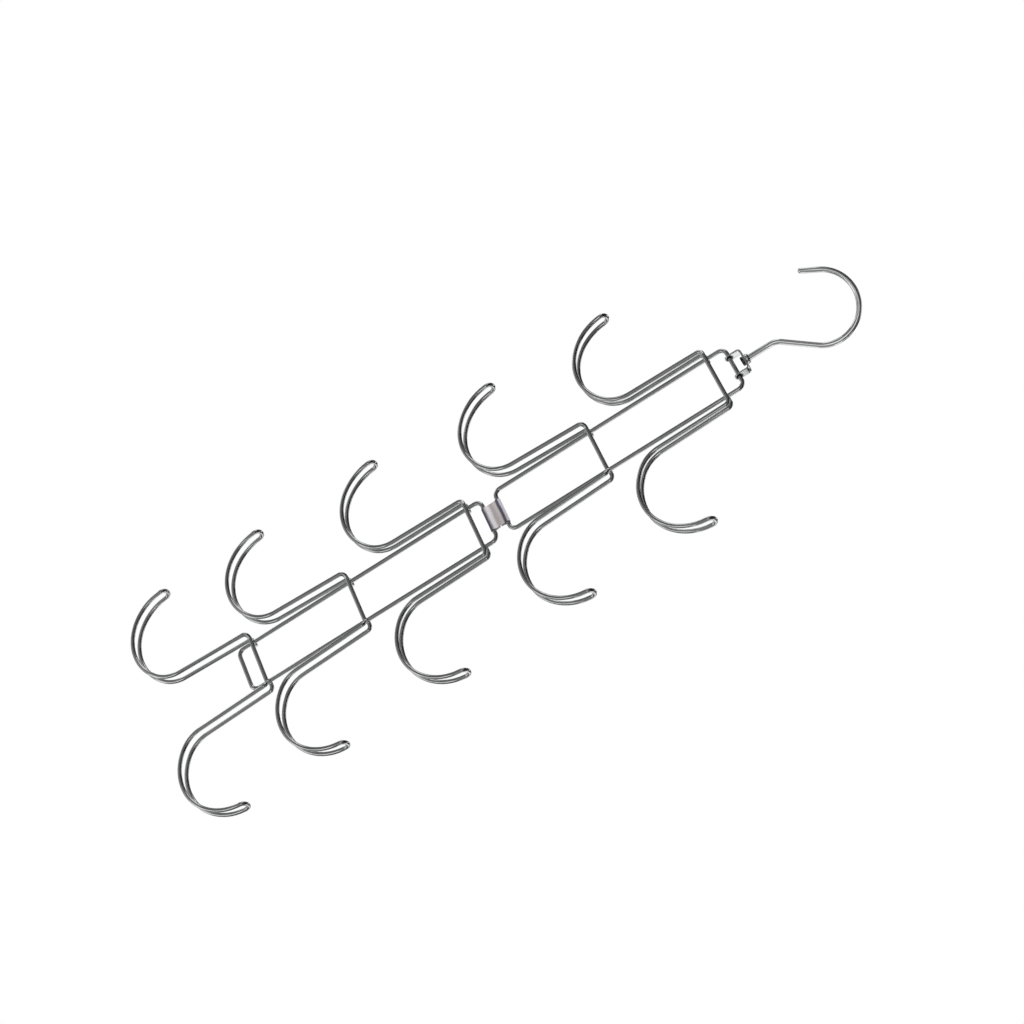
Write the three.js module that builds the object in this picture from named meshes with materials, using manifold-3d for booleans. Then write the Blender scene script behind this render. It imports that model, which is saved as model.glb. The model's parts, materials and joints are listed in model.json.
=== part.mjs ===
// Hanging organiser of bent chromed wire: a swivel hook, two ladder frames joined by a
// folded sleeve, and five double hooks welded across the rails.
// Millimetres. +Z is up, +X to the right and -Y to the front. The origin is the rod seat,
// the inside top of the swivel hook, and the shank of that hook lies on the Z axis.

import * as THREE from 'three';
import { mergeVertices } from 'three/addons/utils/BufferGeometryUtils.js';
import Module from 'manifold-3d';

const wasm = await Module();
wasm.setup();

// Wire stock and clearances
const WIRE = 3.0;               // diameter of the frame and double hook wire
const HOOK_WIRE = 4.0;          // diameter of the swivel hook wire
const WELD_GAP = 0.3;           // clearance left at each welded crossing
const TURN_GAP = 0.25;          // running clearance of a wire in an eye or sleeve
const BUTT_GAP = 0.4;           // clearance between the two butted ends of a frame wire

// Facets
const WIRE_SIDES = 8;
const HOOK_SIDES = 12;
const EYE_SIDES = 24;
const STRIP_BEND_STEPS = 5;     // steps of a strip's quarter bend
const CHORD_SAG = 0.2;          // how far a faceted bend may cut inside the true arc
const SAME_POINT = 1e-4;        // vertices nearer than this are one

// Swivel hook
const ROD_BORE = 46.5;          // inside diameter of the hook's round
const HOOK_OFFSET = 3;          // round's centre, from the shank axis towards the tip
const HOOK_TURN = 35;           // degrees that the hook is turned from the ladder's plane
const ROUND_END = 152;          // degrees round from level where the round runs out straight
const TIP_RUN = 14;             // straight length from there to the tip
const SHANK_BEND_DROP = 60.8;   // rod seat down to the corner where the shank leans out
const SHANK_BEND_RADIUS = 12;
const HEAD_DIAMETER = 6.6;      // upset head that keeps the shank in the stirrup
const HEAD_HEIGHT = 1.8;
const HEAD_CHAMFER = 0.5;
const COLLAR_DIAMETER = 7;      // upset collar that rides on top of the stirrup
const COLLAR_HEIGHT = 2.6;
const COLLAR_ROUND = 1.6;       // rounding of its upper edge

// Stirrup that carries the upper frame under the swivel hook
const STIRRUP_WIDTH = 18;       // outside, along the rung
const STIRRUP_DEPTH = 6.4;      // width of its strip
const STIRRUP_STRIP = 1.2;      // thickness of its strip
const STIRRUP_RISE = 9.2;       // rung axis up to the top of the stirrup
const STIRRUP_CORNER = 2.6;     // outside bend radius

// Ladder frames: places of the rungs and of the double hooks' bridges below the rod seat
const RAIL_SPACING = 35;
const FRAME_CORNER = 5;         // bend radius on the wire's centre line
const UPPER_TOP = 93;
const UPPER_HEIGHT = 185;
const LOWER_HEIGHT = 200.8;
const UPPER_FIRST_DROP = 14;    // top rung down to the first bridge
const UPPER_PITCH = 93.5;       // on to the second one
const LOWER_FIRST_DROP = 10.8;
const LOWER_PITCH = 96.5;
const LAST_RISE = 12.5;         // bottom rung up to the last bridge

// Sleeve that links the two frames
const LINK_DROP = 11.2;         // between the rungs it holds
const SLEEVE_WIDTH = 20;
const SLEEVE_STRIP = 0.4;
const SLEEVE_WAIST = 0.4;       // inside width left where it is pinched between the rungs
const SLEEVE_SEAM = 0.8;        // slit at the back where the strip's ends face each other

// Double hooks
const STEM_LENGTH = 56.4;       // bridge down to the heel bend
const SHOULDER_RADIUS = 3.6;    // bend from bridge to stem
const HEEL_RADIUS = 24;
const HEEL_LEAN = 49.3;         // degrees that the run from heel to curl leans outwards
const CURL_RADIUS = 36.6;
const TIP_LEAN = 6.5;           // degrees that the tip still leans outwards
const TIP_GAP = 9;              // between the two wires of a hook at its tip
const RUN = 0.6;                // straight length left between two bends
const TAIL = 1.6;               // length of a wire end past the centre of its rail
const JOGGLE_CLEAR = 0.5;       // from a rail to where a wire kinks towards its shoulder
const JOGGLE_RADIUS = 2;
// A close hook has its two wires drawn together; the front wire of an open one stands off.
const CLOSE_HOOK = {
  stemOut: 6.9,                 // rail out to the stem, at the bridge
  stemSplay: 0.8,               // degrees that the stem leans outwards
  frontOff: -0.7,               // front wire, forward of the bridge
  backOff: -0.7,                // back wire, to the back of the wire's ends
  tipShift: 1.5,                // middle of the tip, to the back of the rails
};
const OPEN_HOOK = {
  stemOut: 5.5,
  stemSplay: 2.3,
  frontOff: 3.1,
  backOff: 0,
  tipShift: -0.9,
};

const chrome = () => new THREE.MeshStandardMaterial({
  color: 0xe6e8ea,
  roughness: 0.08,
  metalness: 1,
});
const satinStrip = () => new THREE.MeshStandardMaterial({
  color: 0xb0a6a8,
  roughness: 0.38,
  metalness: 1,
});

const rad = THREE.MathUtils.degToRad;
const vec = (x, y, z) => new THREE.Vector3(x, y, z);
const touch = WIRE + WELD_GAP;  // centre to centre of two wires welded where they cross

// A wire bent at the corners of a polyline. Its stations lie at both ends of each bend and
// along the bend, so that straight lengths carry no extra rings.
class BentWire extends THREE.Curve {
  constructor(corners) {
    super();
    this.stations = [];
    const last = corners.length - 1;
    const heading = (i) => corners[i + 1].at.clone().sub(corners[i].at).normalize();
    this.addStation(corners[0].at, heading(0));
    for (let i = 1; i < last; i += 1) {
      this.addBend(corners[i].at, corners[i].radius, heading(i - 1), heading(i));
    }
    this.addStation(corners[last].at, heading(last - 1));
  }

  addStation(point, tangent) {
    this.stations.push({ point: point.clone(), tangent: tangent.clone() });
  }

  addBend(corner, radius, into, out) {
    const turn = into.angleTo(out);
    const setback = radius * Math.tan(turn / 2);
    const start = corner.clone().addScaledVector(into, -setback);
    const side = out.clone().addScaledVector(into, -out.dot(into)).normalize();
    const step = 2 * Math.acos(1 - CHORD_SAG / radius);
    const steps = Math.max(2, Math.ceil(turn / step));
    for (let k = 0; k <= steps; k += 1) {
      const angle = turn * k / steps;
      const point = start.clone()
        .addScaledVector(into, radius * Math.sin(angle))
        .addScaledVector(side, radius * (1 - Math.cos(angle)));
      const tangent = into.clone().multiplyScalar(Math.cos(angle))
        .addScaledVector(side, Math.sin(angle));
      this.addStation(point, tangent);
    }
  }

  getPoint(t, target = new THREE.Vector3()) {
    const place = t * (this.stations.length - 1);
    const i = Math.min(Math.floor(place), this.stations.length - 2);
    return target.lerpVectors(this.stations[i].point, this.stations[i + 1].point, place - i);
  }

  getPointAt(u, target) {
    return this.getPoint(u, target);
  }

  getTangentAt(u, target = new THREE.Vector3()) {
    return target.copy(this.stations[Math.round(u * (this.stations.length - 1))].tangent);
  }
}

function roundSection(diameter, sides) {
  const points = [];
  for (let i = 0; i < sides; i += 1) {
    const angle = 2 * Math.PI * (i + 0.5) / sides;
    points.push(new THREE.Vector2(Math.cos(angle), Math.sin(angle)).multiplyScalar(diameter / 2));
  }
  return new THREE.Shape(points);
}

function bentWireGeometry(corners, diameter, sides) {
  const path = new BentWire(corners);
  return new THREE.ExtrudeGeometry(roundSection(diameter, sides), {
    steps: path.stations.length - 1,
    extrudePath: path,
  });
}

// Joins and cuts
function solid(geometry) {
  const bare = geometry.clone();
  bare.deleteAttribute('normal');
  bare.deleteAttribute('uv');
  const merged = mergeVertices(bare, SAME_POINT);
  return new wasm.Manifold(new wasm.Mesh({
    numProp: 3,
    vertProperties: new Float32Array(merged.attributes.position.array),
    triVerts: new Uint32Array(merged.index.array),
  }));
}

function geometryOf(manifold) {
  const mesh = manifold.getMesh();
  const geometry = new THREE.BufferGeometry();
  geometry.setAttribute('position', new THREE.BufferAttribute(mesh.vertProperties, 3));
  geometry.setIndex(new THREE.BufferAttribute(mesh.triVerts, 1));
  geometry.computeVertexNormals();
  return geometry;
}

function piece(name, geometry, material) {
  const mesh = new THREE.Mesh(geometry, material);
  mesh.name = name;
  return mesh;
}

// Disc or collar about the shank, from the corners of its half section
function turned(corners) {
  const geometry = new THREE.LatheGeometry(
    corners.map(([radius, height]) => new THREE.Vector2(radius, height)),
    EYE_SIDES,
  );
  geometry.rotateX(Math.PI / 2);
  return solid(geometry);
}

// Swivel hook: shank on the axis, leaning out to a tangent of the round, then over the rod
// and straight down to the tip. A head below and a collar above hold it in the stirrup.
// It is drawn in its own plane and turned with it.
function swivelHook(headTop, collarFoot) {
  const roundRadius = (ROD_BORE + HOOK_WIRE) / 2;
  const centre = new THREE.Vector2(-HOOK_OFFSET, -ROD_BORE / 2);
  const lean = new THREE.Vector2(0, -SHANK_BEND_DROP);
  const reach = centre.distanceTo(lean);
  const heading = Math.asin(roundRadius / reach) + Math.atan2(centre.x, centre.y - lean.y);
  const sweep = heading + rad(ROUND_END);
  const bends = Math.ceil(sweep / (Math.PI / 2));
  const turn = sweep / bends;
  const plane = (p) => vec(p.x, 0, p.y);
  const around = (angle, radius) => plane(
    new THREE.Vector2(Math.cos(angle), Math.sin(angle)).multiplyScalar(radius).add(centre),
  );

  const corners = [
    { at: vec(0, 0, headTop - HEAD_HEIGHT / 2) },
    { at: plane(lean), radius: SHANK_BEND_RADIUS },
  ];
  for (let i = 0; i < bends; i += 1) {
    const angle = -heading + turn * (i + 0.5);
    corners.push({ at: around(angle, roundRadius / Math.cos(turn / 2)), radius: roundRadius });
  }
  const tipHeading = vec(-Math.sin(rad(ROUND_END)), 0, Math.cos(rad(ROUND_END)));
  corners.push({ at: around(rad(ROUND_END), roundRadius).addScaledVector(tipHeading, TIP_RUN) });
  const wire = solid(bentWireGeometry(corners, HOOK_WIRE, HOOK_SIDES));

  const headRadius = HEAD_DIAMETER / 2;
  const head = turned([
    [0, headTop - HEAD_HEIGHT],
    [headRadius - HEAD_CHAMFER, headTop - HEAD_HEIGHT],
    [headRadius, headTop - HEAD_HEIGHT + HEAD_CHAMFER],
    [headRadius, headTop],
    [0, headTop],
  ]);

  const collarRadius = COLLAR_DIAMETER / 2;
  const collarTop = collarFoot + COLLAR_HEIGHT;
  const collarCorners = [[0, collarFoot], [collarRadius, collarFoot]];
  for (let k = 0; k <= STRIP_BEND_STEPS; k += 1) {
    const angle = Math.PI / 2 * k / STRIP_BEND_STEPS;
    collarCorners.push([
      collarRadius - COLLAR_ROUND * (1 - Math.cos(angle)),
      collarTop - COLLAR_ROUND * (1 - Math.sin(angle)),
    ]);
  }
  collarCorners.push([0, collarTop]);
  const collar = turned(collarCorners);

  const mesh = piece('swivel_hook', geometryOf(wire.add(head).add(collar)), chrome());
  mesh.rotation.z = rad(HOOK_TURN);
  return mesh;
}

// Stirrup: strip bent over into an inverted U. The top is bored for the shank and both legs
// for the rung; the leg ends are round about the rung.
function stirrup(rungZ) {
  const half = STIRRUP_WIDTH / 2;
  const top = STIRRUP_RISE;
  const foot = -STIRRUP_DEPTH / 2;
  const inner = STIRRUP_CORNER - STIRRUP_STRIP;
  const outline = new THREE.Shape();
  outline.moveTo(-half, foot);
  outline.lineTo(-half + STIRRUP_STRIP, foot);
  outline.absarc(-half + STIRRUP_CORNER, top - STIRRUP_CORNER, inner, Math.PI, Math.PI / 2, true);
  outline.absarc(half - STIRRUP_CORNER, top - STIRRUP_CORNER, inner, Math.PI / 2, 0, true);
  outline.lineTo(half - STIRRUP_STRIP, foot);
  outline.lineTo(half, foot);
  outline.absarc(half - STIRRUP_CORNER, top - STIRRUP_CORNER, STIRRUP_CORNER, 0, Math.PI / 2);
  outline.absarc(-half + STIRRUP_CORNER, top - STIRRUP_CORNER, STIRRUP_CORNER, Math.PI / 2, Math.PI);
  const strip = new THREE.ExtrudeGeometry(outline, {
    depth: STIRRUP_DEPTH,
    bevelEnabled: false,
    curveSegments: STRIP_BEND_STEPS,
  });
  strip.translate(0, 0, -STIRRUP_DEPTH / 2);
  strip.rotateX(Math.PI / 2);

  const side = new THREE.Shape();
  side.absarc(0, 0, STIRRUP_DEPTH / 2, Math.PI, 2 * Math.PI);
  side.lineTo(STIRRUP_DEPTH / 2, top + STIRRUP_STRIP);
  side.lineTo(-STIRRUP_DEPTH / 2, top + STIRRUP_STRIP);
  const ends = new THREE.ExtrudeGeometry(side, {
    depth: STIRRUP_WIDTH + 2 * STIRRUP_STRIP,
    bevelEnabled: false,
    curveSegments: EYE_SIDES / 2,
  });
  ends.translate(0, 0, -half - STIRRUP_STRIP);
  ends.rotateX(Math.PI / 2);
  ends.rotateZ(Math.PI / 2);

  const bore = (wire, length) => new THREE.CylinderGeometry(
    wire / 2 + TURN_GAP, wire / 2 + TURN_GAP, length, EYE_SIDES,
  );
  const rungBore = bore(WIRE, STIRRUP_WIDTH + 2 * STIRRUP_STRIP);
  rungBore.rotateZ(Math.PI / 2);
  const shankBore = bore(HOOK_WIRE, 2 * STIRRUP_CORNER);
  shankBore.rotateX(Math.PI / 2);
  shankBore.translate(0, 0, top);

  const body = solid(strip).intersect(solid(ends))
    .subtract(solid(rungBore))
    .subtract(solid(shankBore));
  const mesh = piece('stirrup', geometryOf(body), chrome());
  mesh.position.z = rungZ;
  return mesh;
}

// Ladder frame: one wire bent to a round-cornered rectangle, with its butted ends in the
// middle of the rung that the sleeve covers.
function ladderFrame(name, topZ, height, buttAtTop) {
  const half = RAIL_SPACING / 2;
  const buttZ = buttAtTop ? topZ : topZ - height;
  const farZ = buttAtTop ? topZ - height : topZ;
  const corners = [
    { at: vec(BUTT_GAP / 2, 0, buttZ) },
    { at: vec(half, 0, buttZ), radius: FRAME_CORNER },
    { at: vec(half, 0, farZ), radius: FRAME_CORNER },
    { at: vec(-half, 0, farZ), radius: FRAME_CORNER },
    { at: vec(-half, 0, buttZ), radius: FRAME_CORNER },
    { at: vec(-BUTT_GAP / 2, 0, buttZ) },
  ];
  return piece(name, bentWireGeometry(corners, WIRE, WIRE_SIDES), chrome());
}

// Sleeve: strip wrapped round both rungs and pinched between them, so that each rung turns in
// an eye of its own. The strip's ends face each other across a slit at the back of the waist.
function linkSleeve(upperRungZ) {
  const low = -LINK_DROP;
  const middle = low / 2;
  const seam = SLEEVE_SEAM / 2;
  const inner = { eye: WIRE / 2 + TURN_GAP, waist: SLEEVE_WAIST / 2 };
  const outer = { eye: inner.eye + SLEEVE_STRIP, waist: inner.waist + SLEEVE_STRIP };
  // How far a wrap runs past the level of its rung before it heads straight for the waist
  const past = ({ eye, waist }) => (
    Math.asin(eye / Math.hypot(waist, middle)) - Math.atan2(waist, -middle)
  );
  // Half width of a skin at the edge of the slit, on its straight run from eye to waist
  const atSeam = (skin) => {
    const lean = past(skin);
    const eyeY = skin.eye * Math.cos(lean);
    const eyeZ = -skin.eye * Math.sin(lean);
    return skin.waist + (eyeY - skin.waist) * seam / (eyeZ - middle);
  };

  const section = new THREE.Shape();
  section.moveTo(atSeam(inner), middle + seam);
  section.lineTo(atSeam(outer), middle + seam);
  section.absarc(0, 0, outer.eye, -past(outer), Math.PI + past(outer));
  section.lineTo(-outer.waist, middle);
  section.absarc(0, low, outer.eye, Math.PI - past(outer), 2 * Math.PI + past(outer));
  section.lineTo(atSeam(outer), middle - seam);
  section.lineTo(atSeam(inner), middle - seam);
  section.absarc(0, low, inner.eye, past(inner), -Math.PI - past(inner), true);
  section.lineTo(-inner.waist, middle);
  section.absarc(0, 0, inner.eye, Math.PI + past(inner), -past(inner), true);
  const geometry = new THREE.ExtrudeGeometry(section, {
    depth: SLEEVE_WIDTH,
    bevelEnabled: false,
    curveSegments: 2 * STRIP_BEND_STEPS,
  });
  geometry.translate(0, 0, -SLEEVE_WIDTH / 2);
  geometry.rotateX(Math.PI / 2);
  geometry.rotateZ(Math.PI / 2);
  const mesh = piece('link_sleeve', geometry, satinStrip());
  mesh.position.z = upperRungZ;
  return mesh;
}

// Double hook: one wire whose ends are welded behind the rails and whose bridge is welded
// across their fronts. Each hook is a hairpin of a back and a front wire.
function doubleHook(name, bridgeZ, style) {
  const rail = RAIL_SPACING / 2;
  const shoulder = rail + style.stemOut;
  const heelTurn = rad(HEEL_LEAN - style.stemSplay);
  const curlTurn = rad(180 - TIP_LEAN - HEEL_LEAN);
  const heelSetback = HEEL_RADIUS * Math.tan(heelTurn / 2);
  const curlSetback = CURL_RADIUS * Math.tan(curlTurn / 2);
  const legs = [
    { length: STEM_LENGTH + heelSetback, down: rad(style.stemSplay), radius: HEEL_RADIUS },
    { length: heelSetback + RUN + curlSetback, down: rad(HEEL_LEAN), radius: CURL_RADIUS },
    {
      length: curlSetback + RUN + TIP_GAP / 2,
      down: rad(180 - TIP_LEAN),
      radius: (TIP_GAP - RUN) / 2,
    },
  ];
  const whole = legs.reduce((sum, leg) => sum + leg.length, 0);

  // Corners of one wire of a hairpin, from the shoulder to the tip
  const hookWire = (side, yTop, yTip) => {
    const corners = [{ at: vec(side * shoulder, yTop, bridgeZ), radius: SHOULDER_RADIUS }];
    let x = shoulder;
    let z = bridgeZ;
    let gone = 0;
    for (const leg of legs) {
      x += leg.length * Math.sin(leg.down);
      z -= leg.length * Math.cos(leg.down);
      gone += leg.length;
      const y = yTop + (yTip - yTop) * gone / whole;
      corners.push({ at: vec(side * x, y, z), radius: leg.radius });
    }
    return corners;
  };

  const frontTip = style.tipShift - TIP_GAP / 2;
  const backTip = style.tipShift + TIP_GAP / 2;
  const kink = rail + WIRE / 2 + JOGGLE_CLEAR;
  const joggle = (side, y, off) => (
    off === 0 ? [] : [{ at: vec(side * kink, y, bridgeZ), radius: JOGGLE_RADIUS }]
  );
  const hairpin = (side) => [
    { at: vec(side * (rail - TAIL), touch, bridgeZ) },
    ...joggle(side, touch, style.backOff),
    ...hookWire(side, touch + style.backOff, backTip),
    ...hookWire(side, -touch - style.frontOff, frontTip).reverse(),
    ...joggle(side, -touch, style.frontOff),
  ];
  const corners = [...hairpin(-1), ...hairpin(1).reverse()];
  return piece(name, bentWireGeometry(corners, WIRE, WIRE_SIDES), chrome());
}

const upperTopZ = -UPPER_TOP;
const upperBottomZ = upperTopZ - UPPER_HEIGHT;
const lowerTopZ = upperBottomZ - LINK_DROP;
const stirrupTop = upperTopZ + STIRRUP_RISE;
const rows = [
  { bridgeZ: upperTopZ - UPPER_FIRST_DROP, style: CLOSE_HOOK },
  { bridgeZ: upperTopZ - UPPER_FIRST_DROP - UPPER_PITCH, style: OPEN_HOOK },
  { bridgeZ: lowerTopZ - LOWER_FIRST_DROP, style: CLOSE_HOOK },
  { bridgeZ: lowerTopZ - LOWER_FIRST_DROP - LOWER_PITCH, style: OPEN_HOOK },
  { bridgeZ: lowerTopZ - LOWER_HEIGHT + LAST_RISE, style: OPEN_HOOK },
];

const organiser = new THREE.Group();
organiser.add(
  swivelHook(stirrupTop - STIRRUP_STRIP - TURN_GAP, stirrupTop + TURN_GAP),
  stirrup(upperTopZ),
  ladderFrame('upper_frame', upperTopZ, UPPER_HEIGHT, false),
  linkSleeve(upperBottomZ),
  ladderFrame('lower_frame', lowerTopZ, LOWER_HEIGHT, true),
);
rows.forEach(({ bridgeZ, style }, row) => {
  organiser.add(doubleHook(`double_hook_${row + 1}`, bridgeZ, style));
});

export default organiser;
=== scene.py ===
"""Chromed wire hook organiser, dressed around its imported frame. Metres, +Z up, -Y to the front."""

import json
import math

import bmesh
import bpy
from mathutils import Matrix, Vector, noise


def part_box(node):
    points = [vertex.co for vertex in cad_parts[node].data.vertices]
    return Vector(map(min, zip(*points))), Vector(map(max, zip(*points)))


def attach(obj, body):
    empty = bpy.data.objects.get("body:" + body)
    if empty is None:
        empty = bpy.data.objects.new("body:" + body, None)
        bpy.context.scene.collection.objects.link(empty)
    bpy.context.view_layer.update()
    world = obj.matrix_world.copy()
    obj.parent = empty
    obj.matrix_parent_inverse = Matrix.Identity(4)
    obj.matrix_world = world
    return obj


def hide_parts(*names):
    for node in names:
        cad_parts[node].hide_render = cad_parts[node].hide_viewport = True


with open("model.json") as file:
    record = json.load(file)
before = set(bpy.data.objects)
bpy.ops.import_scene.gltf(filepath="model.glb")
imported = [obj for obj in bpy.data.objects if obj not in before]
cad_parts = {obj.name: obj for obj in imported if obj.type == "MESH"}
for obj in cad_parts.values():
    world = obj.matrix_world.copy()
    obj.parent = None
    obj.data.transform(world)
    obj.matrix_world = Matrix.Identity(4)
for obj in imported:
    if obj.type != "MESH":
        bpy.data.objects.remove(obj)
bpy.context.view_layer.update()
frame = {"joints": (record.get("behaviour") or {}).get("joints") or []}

MM = 0.001
SIDE, BACK, UP = Vector((1, 0, 0)), Vector((0, 1, 0)), Vector((0, 0, 1))
QUARTER = math.pi / 2

# Wire stock
WIRE = 3.0 * MM
HOOK_WIRE = 4.0 * MM
TOUCH = 3.3 * MM                  # centre to centre of two welded wires
TURN_GAP = 0.25 * MM              # clearance of the turning joints

# Swivel hook
ROD_BORE = 46.5 * MM
HOOK_OFFSET = 3 * MM              # from the shank to the middle of the round
HOOK_TURN = math.radians(35)      # of the hook about the shank, at rest
ROUND_END = math.radians(152)
TIP_RUN = 14 * MM
SHANK_BEND_DROP = 60.8 * MM
SHANK_BEND_RADIUS = 12 * MM
HEAD_DIAMETER = 6.6 * MM
HEAD_HEIGHT = 1.8 * MM
HEAD_ROUND = 0.5 * MM
COLLAR_DIAMETER = 7 * MM
COLLAR_HEIGHT = 2.6 * MM
COLLAR_ROUND = 1.6 * MM
COLLAR_EDGE = 0.3 * MM

# Stirrup
STIRRUP_WIDTH = 18 * MM
STIRRUP_DEPTH = 6.4 * MM
STIRRUP_STRIP = 1.2 * MM
STIRRUP_RISE = 9.2 * MM           # from the rung to the top
STIRRUP_CORNER = 2.6 * MM
STIRRUP_EDGE = 0.3 * MM           # rounding of the strip's edges
BORE_DEPTH = 30 * MM              # length of the tool that cuts a bore
SHANK_BORE_LIFT = 12 * MM         # of that tool's middle above the top, so that it ends under it

# Ladder frames, with their rungs where the joints are
RAIL_SPACING = 35 * MM
FRAME_CORNER = 5 * MM
LOWER_HEIGHT = 200.8 * MM
JOINT_Z = {joint["name"]: joint["pos_m"][2] for joint in frame["joints"]}
UPPER_TOP = JOINT_Z["upper_swing"]
UPPER_BOTTOM = JOINT_Z["link_fold"]
LOWER_TOP = JOINT_Z["lower_fold"]
LOWER_BOTTOM = LOWER_TOP - LOWER_HEIGHT
BUTT = 0.1 * MM                   # half the gap between the butted ends of a frame wire

# Sleeve
SLEEVE_WIDTH = 20 * MM
SLEEVE_STRIP = 0.4 * MM
SLEEVE_WAIST = 0.4 * MM           # inside width where it is pinched between the rungs
SLEEVE_SEAM = 0.8 * MM
SLEEVE_EDGE = 0.12 * MM
EYE_GAP = 0.08 * MM               # the strip lies closer to the rungs than its running clearance

# Double hooks
STEM_LENGTH = 56.4 * MM
SHOULDER_RADIUS = 3.6 * MM
HEEL_RADIUS = 24 * MM
HEEL_LEAN = math.radians(49.3)
CURL_RADIUS = 36.6 * MM
TIP_LEAN = math.radians(6.5)
TIP_GAP = 9 * MM
RUN = 0.6 * MM                    # straight between two bends
TAIL = 1.6 * MM                   # of the wire's ends past the rails
JOGGLE_CLEAR = 0.5 * MM
JOGGLE_RADIUS = 2 * MM
CLOSE = {
    "stem_out": 6.9 * MM,
    "splay": math.radians(0.8),
    "front_off": -0.7 * MM,
    "back_off": -0.7 * MM,
    "tip_shift": 1.5 * MM,
}
OPEN = {
    "stem_out": 5.5 * MM,
    "splay": math.radians(2.3),
    "front_off": 3.1 * MM,
    "back_off": 0.0,
    "tip_shift": -0.9 * MM,
}

# Their bridges, down from the top rung of the frame, and for the last up from the bottom rung
ROW_1_DROP = 14 * MM
ROW_2_DROP = 107.5 * MM
ROW_3_DROP = 10.8 * MM
ROW_4_DROP = 107.3 * MM
ROW_5_RISE = 12.5 * MM
ROWS = [
    ("double_hook_1", "upper_section", UPPER_TOP - ROW_1_DROP, CLOSE),
    ("double_hook_2", "upper_section", UPPER_TOP - ROW_2_DROP, OPEN),
    ("double_hook_3", "lower_section", LOWER_TOP - ROW_3_DROP, CLOSE),
    ("double_hook_4", "lower_section", LOWER_TOP - ROW_4_DROP, OPEN),
    ("double_hook_5", "lower_section", LOWER_BOTTOM + ROW_5_RISE, OPEN),
]

# Weld nuggets between two wires
WELD_SIZE = Vector((1.75, 0.95, 1.75)) * MM   # half sizes
WELD_LUMP = 0.12                  # how far the surface wanders, as a share of the size
WELD_LUMP_SCALE = 1.7
WELD_SPREAD = 900                 # how fast the lumps change from one nugget to the next

# Mesh density
WIRE_SIDES = 20
TURNED_SIDES = 40
BEND_STEP = math.radians(5)
FEWEST_BEND_STEPS = 3
ROUND_STEPS = 5                   # of a rounded edge
STRIP_EDGE_STEPS = 3              # of each rounded edge of a strip
LEG_END_STEPS = 12
STIRRUP_CORNER_STEPS = 8
EYE_STEPS = 36
WAIST_STEPS = 14
SEAM_STEPS = 6
END_ROUND = 0.35                  # share of the wire's radius that is rounded off at a cut end
DOME_END = 0.96                   # the same at the swivel hook's domed tip
SMOOTH_ANGLE = math.radians(40)
BORED_SMOOTH_ANGLE = math.radians(30)

# Camera, as fitted to the photograph; azimuth from the front towards +X, in degrees
CAMERA_AZIMUTH = 35.32
CAMERA_ELEVATION = 8.845
CAMERA_ROLL = math.radians(58.069)
CAMERA_DISTANCE = 1887.9 * MM
MIDDLE = Vector((4.68, 0, -272.5)) * MM
SENSOR = 36.0
FOCAL_SHARE = 2781.35 / 1024      # focal length over the picture's width

# Studio
FLOOR_Z = -1.6
FLOOR_SIZE = 12.0
FLOOR_SHADE = 0.9
FLOOR_ROUGHNESS = 0.9
FLAG_REACH = 2.6
LOW_REACH = 1.25                  # flags below the object stay above the floor
FLAG_ROWS = 10
FLAG_COLUMNS = 20
SOFTBOX_REACH = 1.9


def add_object(name, data):
    obj = bpy.data.objects.new(name, data)
    bpy.context.scene.collection.objects.link(obj)
    return obj


def smooth(mesh, angle):
    for polygon in mesh.polygons:
        polygon.use_smooth = True
    mesh.set_sharp_from_angle(angle=angle)


def finished_mesh(name, bm):
    bmesh.ops.recalc_face_normals(bm, faces=bm.faces)
    mesh = bpy.data.meshes.new(name)
    bm.to_mesh(mesh)
    bm.free()
    smooth(mesh, SMOOTH_ANGLE)
    return mesh


def dress(name, mesh, material, body, slot, *nodes):
    """Adds a piece of the object: its finish, the body it rides on and the nodes it stands for."""
    mesh.materials.append(material)
    obj = add_object(name, mesh)
    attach(obj, body)
    if nodes:
        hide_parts(*nodes)


def spread(start, end, steps):
    """Values from start to end, both included, in even steps."""
    return [start + (end - start) * k / steps for k in range(steps + 1)]


def circle(sides):
    """Angles of the corners of a many-sided ring."""
    return [2 * math.pi * k / sides for k in range(sides)]


def loft(bm, loops):
    """Skins closed loops of points one after the other, closes both ends and returns the side faces."""
    rings = [[bm.verts.new(point) for point in loop] for loop in loops]
    count = len(rings[0])
    faces = []
    for near, far in zip(rings, rings[1:]):
        for k in range(count):
            j = (k + 1) % count
            faces.append(bm.faces.new((near[k], near[j], far[j], far[k])))
    bm.faces.new(rings[0][::-1])
    bm.faces.new(rings[-1])
    return faces


# Bent wire

def bend_stations(corner, radius, into, out):
    """Points and headings along one bend of a wire."""
    turn = into.angle(out)
    start = corner - into * radius * math.tan(turn / 2)
    side = (out - into * out.dot(into)).normalized()
    steps = max(FEWEST_BEND_STEPS, math.ceil(turn / BEND_STEP))
    stations = []
    for angle in spread(0, turn, steps):
        point = start + into * radius * math.sin(angle) + side * radius * (1 - math.cos(angle))
        stations.append((point, into * math.cos(angle) + side * math.sin(angle)))
    return stations


def wire_stations(corners):
    """Stations of a wire bent at the corners of a polyline, each given as a point and a radius."""
    points = [point for point, _ in corners]
    headings = [(b - a).normalized() for a, b in zip(points, points[1:])]
    stations = [(points[0], headings[0])]
    for i in range(1, len(corners) - 1):
        stations += bend_stations(points[i], corners[i][1], headings[i - 1], headings[i])
    stations.append((points[-1], headings[-1]))
    return stations


def rounded_end(point, heading, inward, radius, share):
    """Stations of a cut end whose edge is rounded, from its face inwards."""
    depth = radius * share
    stations = []
    for angle in spread(0, QUARTER, ROUND_STEPS):
        place = point + inward * depth * (1 - math.cos(angle))
        stations.append((place, heading, radius - depth * (1 - math.sin(angle))))
    return stations


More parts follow.
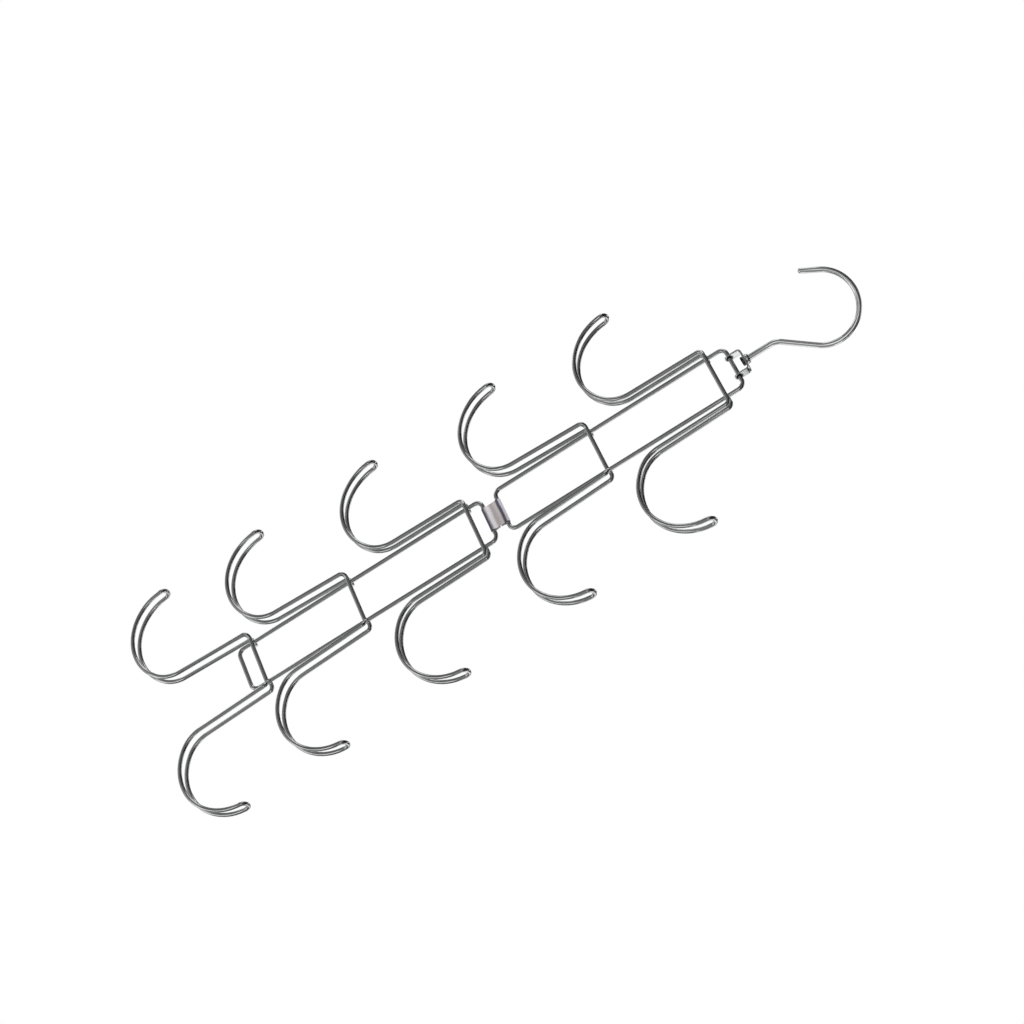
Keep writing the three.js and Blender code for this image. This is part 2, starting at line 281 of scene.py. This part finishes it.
def wire_mesh(name, corners, diameter, end_round=END_ROUND):
    """Round wire swept along its bends, with a texture map that runs along it."""
    radius = diameter / 2
    path = wire_stations(corners)
    (first, into), (last, out) = path[0], path[-1]
    stations = rounded_end(first, into, into, radius, END_ROUND)
    stations += [(point, heading, radius) for point, heading in path[1:-1]]
    stations += rounded_end(last, out, -out, radius, end_round)[::-1]

    normal = into.orthogonal().normalized()
    previous_point, previous_heading = first, into
    run = 0.0
    loops, runs = [], []
    for point, heading, size in stations:
        normal = previous_heading.rotation_difference(heading) @ normal
        normal = (normal - heading * normal.dot(heading)).normalized()
        across = heading.cross(normal)
        run += (point - previous_point).length
        previous_point, previous_heading = point, heading
        rays = [normal * math.cos(a) + across * math.sin(a) for a in circle(WIRE_SIDES)]
        loops.append([point + ray * size for ray in rays])
        runs.append(run / diameter)

    bm = bmesh.new()
    faces = loft(bm, loops)
    uv = bm.loops.layers.uv.new("along_wire")
    for i, face in enumerate(faces):
        ring, side = divmod(i, WIRE_SIDES)
        places = ((side, ring), (side + 1, ring), (side + 1, ring + 1), (side, ring + 1))
        for corner, (s, r) in zip(face.loops, places):
            corner[uv].uv = (s / WIRE_SIDES, runs[r])
    return finished_mesh(name, bm)


def swivel_hook_corners():
    radius = (ROD_BORE + HOOK_WIRE) / 2
    centre = Vector((-HOOK_OFFSET, -ROD_BORE / 2))
    lean = Vector((0, -SHANK_BEND_DROP))
    heading = math.asin(radius / (centre - lean).length)
    heading += math.atan2(centre.x, centre.y - lean.y)
    sweep = heading + ROUND_END
    bends = math.ceil(sweep / QUARTER)
    turn = sweep / bends
    spin = Matrix.Rotation(HOOK_TURN, 3, "Z")

    def place(point):
        return spin @ Vector((point.x, 0, point.y))

    def around(angle, reach):
        return centre + Vector((math.cos(angle), math.sin(angle))) * reach

    foot = UPPER_TOP + STIRRUP_RISE - STIRRUP_STRIP - TURN_GAP - HEAD_HEIGHT / 2
    corners = [(Vector((0, 0, foot)), 0), (place(lean), SHANK_BEND_RADIUS)]
    for i in range(bends):
        middle = around(turn * (i + 0.5) - heading, radius / math.cos(turn / 2))
        corners.append((place(middle), radius))
    tip = around(ROUND_END, radius) + Vector((-math.sin(ROUND_END), math.cos(ROUND_END))) * TIP_RUN
    corners.append((place(tip), 0))
    return corners


def frame_corners(butt, far):
    half = RAIL_SPACING / 2
    return [
        (Vector((BUTT, 0, butt)), 0),
        (Vector((half, 0, butt)), FRAME_CORNER),
        (Vector((half, 0, far)), FRAME_CORNER),
        (Vector((-half, 0, far)), FRAME_CORNER),
        (Vector((-half, 0, butt)), FRAME_CORNER),
        (Vector((-BUTT, 0, butt)), 0),
    ]


def double_hook_corners(bridge_z, style):
    rail = RAIL_SPACING / 2
    shoulder = rail + style["stem_out"]
    heel_setback = HEEL_RADIUS * math.tan((HEEL_LEAN - style["splay"]) / 2)
    curl_setback = CURL_RADIUS * math.tan((math.pi - TIP_LEAN - HEEL_LEAN) / 2)
    legs = [
        (STEM_LENGTH + heel_setback, style["splay"], HEEL_RADIUS),
        (heel_setback + RUN + curl_setback, HEEL_LEAN, CURL_RADIUS),
        (curl_setback + RUN + TIP_GAP / 2, math.pi - TIP_LEAN, (TIP_GAP - RUN) / 2),
    ]
    whole = sum(length for length, _, _ in legs)

    def hook_wire(side, y_top, y_tip):
        corners = [(Vector((side * shoulder, y_top, bridge_z)), SHOULDER_RADIUS)]
        x, z, gone = shoulder, bridge_z, 0.0
        for length, down, radius in legs:
            x += length * math.sin(down)
            z -= length * math.cos(down)
            gone += length
            y = y_top + (y_tip - y_top) * gone / whole
            corners.append((Vector((side * x, y, z)), radius))
        return corners

    def joggle(side, y, off):
        kink = rail + WIRE / 2 + JOGGLE_CLEAR
        return [(Vector((side * kink, y, bridge_z)), JOGGLE_RADIUS)] if off else []

    def hairpin(side):
        end = [(Vector((side * (rail - TAIL), TOUCH, bridge_z)), 0)]
        end += joggle(side, TOUCH, style["back_off"])
        back = hook_wire(side, TOUCH + style["back_off"], style["tip_shift"] + TIP_GAP / 2)
        front = hook_wire(side, -TOUCH - style["front_off"], style["tip_shift"] - TIP_GAP / 2)
        return end + back + front[::-1] + joggle(side, -TOUCH, style["front_off"])

    return hairpin(-1) + hairpin(1)[::-1]


def weld_mesh(name, bridges):
    """Nuggets of weld metal where the bridges and the wire ends lie against the rails."""
    bm = bmesh.new()
    for bridge_z in bridges:
        for x in (-RAIL_SPACING / 2, RAIL_SPACING / 2):
            for y in (-TOUCH / 2, TOUCH / 2):
                place = Vector((x, y, bridge_z))
                made = bmesh.ops.create_icosphere(bm, subdivisions=3, radius=1.0)
                for vert in made["verts"]:
                    lump = 1 + WELD_LUMP * noise.noise(vert.co * WELD_LUMP_SCALE + place * WELD_SPREAD)
                    vert.co = place + Vector(a * b for a, b in zip(vert.co * lump, WELD_SIZE))
    return finished_mesh(name, bm)


# Turned and strip pieces

def turned_mesh(name, profile):
    """Solid of revolution about the shank, from (radius, height) corners."""
    bm = bmesh.new()
    loops = []
    for radius, height in profile:
        angles = circle(TURNED_SIDES)
        loops.append([Vector((radius * math.cos(a), radius * math.sin(a), height)) for a in angles])
    loft(bm, loops)
    return finished_mesh(name, bm)


def foot_round(radius, height, size):
    """Profile corners of a rounded lower rim, from its foot upwards."""
    angles = spread(0, QUARTER, ROUND_STEPS)
    return [(radius - size * (1 - math.sin(a)), height + size * (1 - math.cos(a))) for a in angles]


def top_round(radius, height, size):
    """Profile corners of a rounded upper rim, up to its top."""
    angles = spread(0, QUARTER, ROUND_STEPS)
    return [(radius - size * (1 - math.cos(a)), height - size * (1 - math.sin(a))) for a in angles]


def strip_section(half_width, half_strip, edge):
    """Corners of a strip's rounded cross section, across it and through it."""
    corners = []
    for quarter, (su, sv) in enumerate(((1, 1), (-1, 1), (-1, -1), (1, -1))):
        for k in range(STRIP_EDGE_STEPS + 1):
            angle = QUARTER * (quarter + k / STRIP_EDGE_STEPS)
            u = su * (half_width - edge) + edge * math.cos(angle)
            v = sv * (half_strip - edge) + edge * math.sin(angle)
            corners.append((u, v))
    return corners


def strip_mesh(name, stations, across, strip, edge):
    """Strip swept along stations of (point on its middle, outward normal, half width)."""
    bm = bmesh.new()
    loops = []
    for point, normal, half_width in stations:
        section = strip_section(half_width, strip / 2, edge)
        loops.append([point + across * u + normal * v for u, v in section])
    loft(bm, loops)
    return finished_mesh(name, bm)


def arc_stations(centre, radius, start, end, axes, half_width, steps):
    """Stations along an arc in the plane of two axes, with their outward normals."""
    stations = []
    for angle in spread(start, end, steps):
        normal = axes[0] * math.cos(angle) + axes[1] * math.sin(angle)
        stations.append((centre + normal * radius, normal, half_width))
    return stations


def stirrup_stations():
    """The strip from the round end of one leg over the top to the other."""
    half = STIRRUP_DEPTH / 2
    leg = STIRRUP_WIDTH / 2 - STIRRUP_STRIP / 2
    bend = STIRRUP_CORNER - STIRRUP_STRIP / 2
    bend_z = UPPER_TOP + STIRRUP_RISE - STIRRUP_CORNER
    right = []
    for angle in spread(0, QUARTER, LEG_END_STEPS)[1:]:
        drop = half * math.cos(angle)
        right.append((SIDE * leg + UP * (UPPER_TOP - drop), SIDE, half * math.sin(angle)))
    centre = SIDE * (leg - bend) + UP * bend_z
    right += arc_stations(centre, bend, 0, QUARTER, (SIDE, UP), half, STIRRUP_CORNER_STEPS)
    mirror = Matrix.Scale(-1, 3, SIDE)
    left = [(mirror @ point, mirror @ normal, width) for point, normal, width in right]
    return right + left[::-1]


def soft_waist(above, pinch, below, half):
    """Stations down the front of the waist: a smooth hollow between two points, drawn to a third."""
    stations = []
    for t in spread(0, 1, WAIST_STEPS)[1:-1]:
        point = above * (1 - t) ** 2 + pinch * 2 * t * (1 - t) + below * t ** 2
        heading = ((pinch - above) * (1 - t) + (below - pinch) * t).normalized()
        stations.append((point, Vector((0, heading.z, -heading.y)), half))
    return stations


def sleeve_stations():
    """The strip from one edge of the back slit round both rungs to the other edge."""
    half = SLEEVE_WIDTH / 2
    eye = WIRE / 2 + EYE_GAP + SLEEVE_STRIP / 2
    waist = SLEEVE_WAIST / 2 + SLEEVE_STRIP / 2
    drop = (UPPER_BOTTOM - LOWER_TOP) / 2
    middle = (UPPER_BOTTOM + LOWER_TOP) / 2
    past = math.asin(eye / math.hypot(waist, drop)) - math.atan2(waist, drop)
    axes = (BACK, UP)
    upper = arc_stations(UP * UPPER_BOTTOM, eye, -past, math.pi + past, axes, half, EYE_STEPS)
    lower = arc_stations(UP * LOWER_TOP, eye, math.pi - past, 2 * math.pi + past, axes, half, EYE_STEPS)

    def run(start, end, share_from, share_to):
        (a, na, _), (b, nb, _) = start, end
        shares = spread(share_from, share_to, SEAM_STEPS)
        return [(a.lerp(b, s), na.lerp(nb, s).normalized(), half) for s in shares]

    front_waist = UP * middle - BACK * waist
    back_waist = (UP * middle + BACK * waist, BACK, half)
    slit = 1 - SLEEVE_SEAM / 2 / (drop - eye * math.sin(past))
    stations = run(upper[0], back_waist, slit, 0)[:-1] + upper
    stations += soft_waist(upper[-1][0], front_waist, lower[0][0], half)
    stations += lower + run(lower[-1], back_waist, 0, slit)[1:]
    return stations


def bored(mesh, bores):
    """Cuts round bores of (centre, axis, radius) through a mesh."""
    body = add_object(mesh.name + "_blank", mesh)
    cutters = []
    for i, (centre, axis, radius) in enumerate(bores):
        bm = bmesh.new()
        turn = UP.rotation_difference(axis).to_matrix().to_4x4()
        bmesh.ops.create_cone(bm, cap_ends=True, segments=TURNED_SIDES, radius1=radius, radius2=radius,
                              depth=BORE_DEPTH, matrix=Matrix.Translation(centre) @ turn)
        cutter = add_object(f"{mesh.name}_bore_{i}", finished_mesh("bore", bm))
        cutters.append(cutter)
        cut = body.modifiers.new("bore", "BOOLEAN")
        cut.operation = "DIFFERENCE"
        cut.solver = "EXACT"
        cut.object = cutter
    bpy.context.view_layer.update()
    graph = bpy.context.evaluated_depsgraph_get()
    made = bpy.data.meshes.new_from_object(body.evaluated_get(graph))
    for obj in cutters + [body]:
        bpy.data.objects.remove(obj)
    smooth(made, BORED_SMOOTH_ANGLE)
    return made


# Materials

def new_material(name):
    material = bpy.data.materials.new(name)
    material.use_nodes = True
    tree = material.node_tree
    return material, tree, tree.nodes["Principled BSDF"]


def noise_node(tree, vector, scale, detail, stretch=None):
    if stretch:
        mapping = tree.nodes.new("ShaderNodeMapping")
        mapping.inputs["Scale"].default_value = stretch
        tree.links.new(vector, mapping.inputs["Vector"])
        vector = mapping.outputs["Vector"]
    texture = tree.nodes.new("ShaderNodeTexNoise")
    texture.inputs["Scale"].default_value = scale
    texture.inputs["Detail"].default_value = detail
    tree.links.new(vector, texture.inputs["Vector"])
    return texture.outputs["Fac"]


def ramp_node(tree, factor, stops):
    ramp = tree.nodes.new("ShaderNodeValToRGB")
    elements = ramp.color_ramp.elements
    while len(elements) < len(stops):
        elements.new(0.5)
    for element, (position, colour) in zip(elements, stops):
        element.position = position
        element.color = (*colour, 1)
    tree.links.new(factor, ramp.inputs["Fac"])
    return ramp.outputs["Color"]


def range_node(tree, value, source=(0, 1), target=(0, 1)):
    remap = tree.nodes.new("ShaderNodeMapRange")
    remap.inputs["From Min"].default_value, remap.inputs["From Max"].default_value = source
    remap.inputs["To Min"].default_value, remap.inputs["To Max"].default_value = target
    tree.links.new(value, remap.inputs["Value"])
    return remap.outputs["Result"]


def bump_node(tree, height, strength, distance):
    bump = tree.nodes.new("ShaderNodeBump")
    bump.inputs["Strength"].default_value = strength
    bump.inputs["Distance"].default_value = distance
    tree.links.new(height, bump.inputs["Height"])
    return bump.outputs["Normal"]


def chrome_material(name, dull, bright, roughness, wavy, metal=1.0):
    """Bright plating: a faint clouding of the metal and draw lines that run along the wire."""
    material, tree, shader = new_material(name)
    shader.inputs["Metallic"].default_value = metal
    coords = tree.nodes.new("ShaderNodeTexCoord")
    cloud = noise_node(tree, coords.outputs["Object"], scale=90.0, detail=4.0)
    lines = noise_node(tree, coords.outputs["UV"], scale=1.0, detail=2.0, stretch=(9.0, 0.25, 1.0))
    colour = ramp_node(tree, cloud, [(0.3, dull), (0.7, bright)])
    tree.links.new(colour, shader.inputs["Base Color"])
    tree.links.new(range_node(tree, lines, target=roughness), shader.inputs["Roughness"])
    tree.links.new(bump_node(tree, lines, strength=wavy, distance=0.04 * MM), shader.inputs["Normal"])
    return material


def paint_eye_shade(material, inner, outer, darkest):
    """Darkens a plating close round the top rung with painted shade, the shadow in the eyes that turn on
    it.
    """
    tree = material.node_tree
    base = tree.nodes["Principled BSDF"].inputs["Base Color"]
    colour = base.links[0].from_socket
    coords = tree.nodes.new("ShaderNodeTexCoord")
    away = tree.nodes.new("ShaderNodeVectorMath")
    away.operation = "MULTIPLY_ADD"
    away.inputs[1].default_value = (0, 1, 1)
    away.inputs[2].default_value = (0, 0, -UPPER_TOP)
    tree.links.new(coords.outputs["Object"], away.inputs[0])
    length = tree.nodes.new("ShaderNodeVectorMath")
    length.operation = "LENGTH"
    tree.links.new(away.outputs["Vector"], length.inputs[0])
    share = range_node(tree, length.outputs["Value"], source=(inner, outer), target=(darkest, 1))
    shaded = tree.nodes.new("ShaderNodeVectorMath")
    shaded.operation = "SCALE"
    tree.links.new(colour, shaded.inputs[0])
    tree.links.new(share, shaded.inputs["Scale"])
    tree.links.new(shaded.outputs["Vector"], base)


def satin_material():
    """Rolled strip with a grain along the rungs, banded by height: painted dark reflections on the wraps,
    a painted highlight on the pale waist, then a band of painted shade and warm above it.
    """
    material, tree, shader = new_material("satin_strip")
    shader.inputs["Metallic"].default_value = 0.4
    coords = tree.nodes.new("ShaderNodeTexCoord")
    place = coords.outputs["Object"]
    grain = noise_node(tree, place, scale=1.0, detail=4.0, stretch=(60.0, 2600.0, 2600.0))
    cloud = noise_node(tree, place, scale=260.0, detail=3.0)

    low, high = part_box("link_sleeve")
    split = tree.nodes.new("ShaderNodeSeparateXYZ")
    tree.links.new(place, split.inputs["Vector"])
    height = range_node(tree, split.outputs["Z"], source=(low[2], high[2]))
    wander = tree.nodes.new("ShaderNodeMath")
    wander.operation = "MULTIPLY_ADD"
    wander.inputs[1].default_value = 0.06
    tree.links.new(cloud, wander.inputs[0])
    tree.links.new(height, wander.inputs[2])
    # Painted light in these bands: dark paints the dark reflections on the wraps, pale a highlight, and
    # the darker band between pale and warm paints shade.
    dark, lilac, pale = (0.11, 0.10, 0.13), (0.50, 0.47, 0.55), (0.95, 0.92, 0.94)
    painted_shade, warm, mist = (0.57, 0.51, 0.52), (0.69, 0.63, 0.63), (0.82, 0.79, 0.88)
    tint = ramp_node(tree, wander.outputs["Value"], [
        (0.02, lilac), (0.07, dark), (0.15, dark), (0.22, lilac), (0.28, pale), (0.39, pale),
        (0.48, painted_shade), (0.57, painted_shade), (0.67, warm), (0.74, warm), (0.81, dark), (0.89, dark), (0.96, mist),
    ])
    tree.links.new(tint, shader.inputs["Base Color"])
    tree.links.new(range_node(tree, grain, target=(0.3, 0.48)), shader.inputs["Roughness"])
    tree.links.new(bump_node(tree, grain, strength=0.2, distance=0.03 * MM), shader.inputs["Normal"])
    return material


wire_finish = {"roughness": (0.08, 0.16), "wavy": 0.03}
plate_finish = {
    "dull": (0.80, 0.805, 0.81),
    "bright": (0.90, 0.905, 0.91),
    "roughness": (0.16, 0.28),
    "wavy": 0.06,
}
chrome = chrome_material("bright_chrome", (0.60, 0.605, 0.61), (0.70, 0.705, 0.71), **wire_finish)
hook_chrome = chrome_material("hook_chrome", (0.80, 0.805, 0.81), (0.88, 0.885, 0.89),
                              **wire_finish, metal=0.95)
# The swivel head is near black: painted shade of the hollow under the stirrup's top where it sits.
head_painted_shade = chrome_material("head_painted_shade", (0.06, 0.06, 0.07), (0.14, 0.14, 0.15),
                              roughness=(0.2, 0.3), wavy=0.05)
plated = chrome_material("plated_strip", **plate_finish)
stirrup_plate = chrome_material("stirrup_plate", **plate_finish)
# Painted shade: the stirrup's legs go near black close round the rung, as the shadow inside their eyes.
paint_eye_shade(stirrup_plate, inner=2.3 * MM, outer=3.3 * MM, darkest=0.04)
satin = satin_material()


# Pieces

swivel_wire = wire_mesh("swivel_hook_wire", swivel_hook_corners(), HOOK_WIRE, DOME_END)
dress("swivel_hook_wire", swivel_wire, hook_chrome, "hook", "chrome_wire", "swivel_hook")

stirrup_top = UPPER_TOP + STIRRUP_RISE
collar_foot = stirrup_top + TURN_GAP
collar_top = collar_foot + COLLAR_HEIGHT
collar = foot_round(COLLAR_DIAMETER / 2, collar_foot, COLLAR_EDGE)
collar += top_round(COLLAR_DIAMETER / 2, collar_top, COLLAR_ROUND)
dress("swivel_collar", turned_mesh("swivel_collar", collar), plated, "hook", "chrome_wire", "swivel_hook")

head_top = stirrup_top - STIRRUP_STRIP - TURN_GAP
head = foot_round(HEAD_DIAMETER / 2, head_top - HEAD_HEIGHT, HEAD_ROUND)
head += top_round(HEAD_DIAMETER / 2, head_top, HEAD_ROUND / 2)
dress("swivel_head", turned_mesh("swivel_head", head), head_painted_shade, "hook", "chrome_wire", "swivel_hook")

blank = strip_mesh("stirrup_strip", stirrup_stations(), BACK, STIRRUP_STRIP, STIRRUP_EDGE)
stirrup = bored(blank, [
    (UP * UPPER_TOP, SIDE, WIRE / 2 + TURN_GAP),
    (UP * (stirrup_top + SHANK_BORE_LIFT), UP, HOOK_WIRE / 2 + TURN_GAP),
])
dress("stirrup_strip", stirrup, stirrup_plate, "stirrup", "chrome_wire", "stirrup")

upper = wire_mesh("upper_ladder", frame_corners(UPPER_BOTTOM, UPPER_TOP), WIRE)
dress("upper_ladder", upper, chrome, "upper_section", "chrome_wire", "upper_frame")
lower = wire_mesh("lower_ladder", frame_corners(LOWER_TOP, LOWER_BOTTOM), WIRE)
dress("lower_ladder", lower, chrome, "lower_section", "chrome_wire", "lower_frame")

sleeve = strip_mesh("link_wrap", sleeve_stations(), SIDE, SLEEVE_STRIP, SLEEVE_EDGE)
dress("link_wrap", sleeve, satin, "link", "satin_strip", "link_sleeve")

for node, body, bridge_z, style in ROWS:
    name = node + "_wire"
    wire = wire_mesh(name, double_hook_corners(bridge_z, style), WIRE)
    dress(name, wire, chrome, body, "chrome_wire", node)

for body in ("upper_section", "lower_section"):
    name = body + "_welds"
    welds = weld_mesh(name, [bridge_z for _, rides_on, bridge_z, _ in ROWS if rides_on == body])
    dress(name, welds, plated, body, "chrome_wire")


# Studio

def add_white_view(tree, shader, output):
    """Shows a surface as plain white to the camera and in mirrors and keeps its own shade elsewhere."""
    path = tree.nodes.new("ShaderNodeLightPath")
    seen = path.outputs["Is Camera Ray"]
    for kind in ("Is Glossy Ray", "Is Transmission Ray"):
        either = tree.nodes.new("ShaderNodeMath")
        either.operation = "MAXIMUM"
        tree.links.new(seen, either.inputs[0])
        tree.links.new(path.outputs[kind], either.inputs[1])
        seen = either.outputs["Value"]
    white = tree.nodes.new("ShaderNodeEmission")
    mix = tree.nodes.new("ShaderNodeMixShader")
    tree.links.new(seen, mix.inputs["Fac"])
    tree.links.new(shader, mix.inputs[1])
    tree.links.new(white.outputs["Emission"], mix.inputs[2])
    tree.links.new(mix.outputs["Shader"], output)


floor_bm = bmesh.new()
bmesh.ops.create_grid(floor_bm, size=FLOOR_SIZE / 2, matrix=Matrix.Translation((0, 0, FLOOR_Z)))
floor = add_object("floor", finished_mesh("floor", floor_bm))
floor_material, floor_tree, floor_shader = new_material("pale_floor")
floor_shader.inputs["Base Color"].default_value = (FLOOR_SHADE, FLOOR_SHADE, FLOOR_SHADE, 1)
floor_shader.inputs["Roughness"].default_value = FLOOR_ROUGHNESS
floor_surface = floor_tree.nodes["Material Output"].inputs["Surface"]
add_white_view(floor_tree, floor_shader.outputs["BSDF"], floor_surface)
floor.data.materials.append(floor_material)

world = bpy.data.worlds.new("studio")
world.use_nodes = True
background = world.node_tree.nodes["Background"]
background.inputs["Color"].default_value = (1, 1, 1, 1)
background.inputs["Strength"].default_value = 1.0
bpy.context.scene.world = world


def direction(azimuth, elevation):
    """Unit vector towards an azimuth, from the front towards +X, and an elevation, in degrees."""
    a, e = math.radians(azimuth), math.radians(elevation)
    return Vector((math.sin(a) * math.cos(e), -math.cos(a) * math.cos(e), math.sin(e)))


def flag(reach, name, azimuths, elevations, shade):
    """Grey studio flag, part of a sphere round the object, that only reflections see."""
    bm = bmesh.new()
    grid = []
    for elevation in spread(*elevations, FLAG_ROWS):
        rays = [direction(azimuth, elevation) for azimuth in spread(*azimuths, FLAG_COLUMNS)]
        grid.append([bm.verts.new(MIDDLE + ray * reach) for ray in rays])
    for low, high in zip(grid, grid[1:]):
        for k in range(FLAG_COLUMNS):
            bm.faces.new((low[k], low[k + 1], high[k + 1], high[k]))
    obj = add_object(name, finished_mesh(name, bm))
    material = bpy.data.materials.new(name)
    material.use_nodes = True
    tree = material.node_tree
    tree.nodes.clear()
    glow = tree.nodes.new("ShaderNodeEmission")
    glow.inputs["Color"].default_value = (shade, shade, shade, 1)
    out = tree.nodes.new("ShaderNodeOutputMaterial")
    tree.links.new(glow.outputs["Emission"], out.inputs["Surface"])
    obj.data.materials.append(material)
    obj.visible_camera = False
    obj.visible_diffuse = False
    obj.visible_shadow = False


# Grey panels all round, dark high up, with white gaps beside the camera and behind:
# name, azimuths, elevations and shade
FLAGS = [
    ("front", (-50, 0), (-30, 20), 0.12),
    ("front_up", (0, 16), (1, 20), 0.15),
    ("front_left", (-80, -50), (-18, 20), 0.18),
    ("beside", (0, 50), (-30, 1), 0.27),
    ("brow", (-80, 16), (20, 42), 0.16),
    ("strip", (16, 50), (12, 42), 0.12),
    ("right", (50, 130), (-30, 7), 0.22),
    ("right_mid", (50, 130), (7, 26), 0.015),
    ("right_up", (50, 88), (26, 42), 0.10),
    ("right_high", (88, 140), (26, 42), 0.006),
    ("crown", (-80, 140), (42, 80), 0.012),
    ("back_low", (130, 160), (4, 26), 0.02),
    ("back_mid", (140, 205), (26, 42), 0.02),
    ("back", (160, 280), (-18, 14), 0.28),
    ("back_high", (205, 280), (26, 60), 0.06),
    ("back_top", (140, 280), (60, 80), 0.03),
    ("zenith", (0, 360), (80, 89), 0.06),
]
LOW_FLAGS = [
    ("low_left", (210, 335), (-80, -30), 0.38),
    ("low_front", (-25, 20), (-56, -30), 0.16),
    ("low_right", (60, 150), (-80, -30), 0.10),
    ("low_back", (150, 210), (-80, -30), 0.50),
]
for panel in FLAGS:
    flag(FLAG_REACH, *panel)
for panel in LOW_FLAGS:
    flag(LOW_REACH, *panel)


def softbox(name, azimuth, elevation, size, power):
    light = bpy.data.lights.new(name, "AREA")
    light.shape = "RECTANGLE"
    light.size, light.size_y = size
    light.energy = power
    obj = add_object(name, light)
    obj.location = MIDDLE + direction(azimuth, elevation) * SOFTBOX_REACH
    obj.rotation_euler = (-direction(azimuth, elevation)).to_track_quat("-Z", "Y").to_euler()


softbox("key", azimuth=-62, elevation=18, size=(0.5, 1.1), power=2.4)
softbox("fill", azimuth=118, elevation=10, size=(0.4, 1.1), power=1.8)

camera_back = direction(CAMERA_AZIMUTH, CAMERA_ELEVATION)
level_right = UP.cross(camera_back).normalized()
level_up = camera_back.cross(level_right)
camera_right = level_right * math.cos(CAMERA_ROLL) + level_up * math.sin(CAMERA_ROLL)
camera_up = camera_back.cross(camera_right)
lens = bpy.data.cameras.new("camera")
lens.sensor_width = SENSOR
lens.lens = SENSOR * FOCAL_SHARE
camera = add_object("camera", lens)
turn = Matrix((camera_right, camera_up, camera_back)).transposed().to_4x4()
camera.matrix_world = Matrix.Translation(MIDDLE + camera_back * CAMERA_DISTANCE) @ turn
bpy.context.scene.camera = camera
bpy.context.scene.view_settings.view_transform = "Standard"
